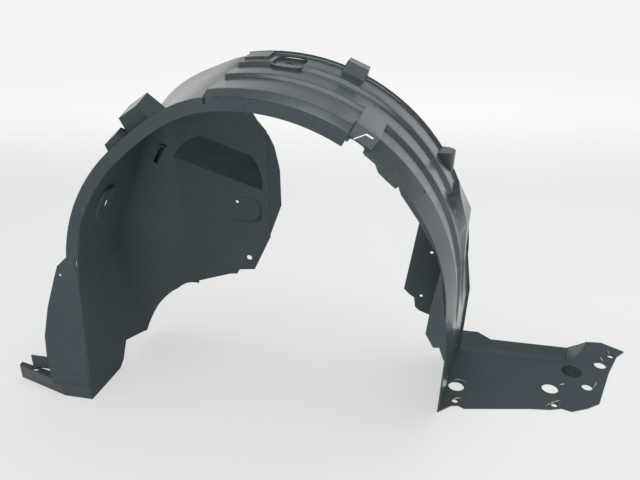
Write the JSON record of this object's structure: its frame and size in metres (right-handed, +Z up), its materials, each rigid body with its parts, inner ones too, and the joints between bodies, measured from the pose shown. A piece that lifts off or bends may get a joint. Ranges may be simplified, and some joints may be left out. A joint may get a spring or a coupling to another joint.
{
  "type": "wheel arch liner",
  "caption": "Thin moulded front wheel arch liner: a stepped arch roof, a trimmed inner wall with a scoop, edge flanges, hollow bosses, a sill bracket and a floor plate with clip holes.",
  "frame": {"origin": "on the floor, under the middle of the part's bounding box", "axes": "+X forward along the car, from the sill bracket to the floor plate, +Y inboard, +Z up"},
  "size_m": [1.108, 0.3618, 0.5644],
  "materials": {
    "plastic": "satin, finely grained"
  },
  "bodies": {
    "root": {"wheel_arch_liner": "plastic"}
  },
  "joints": []
}
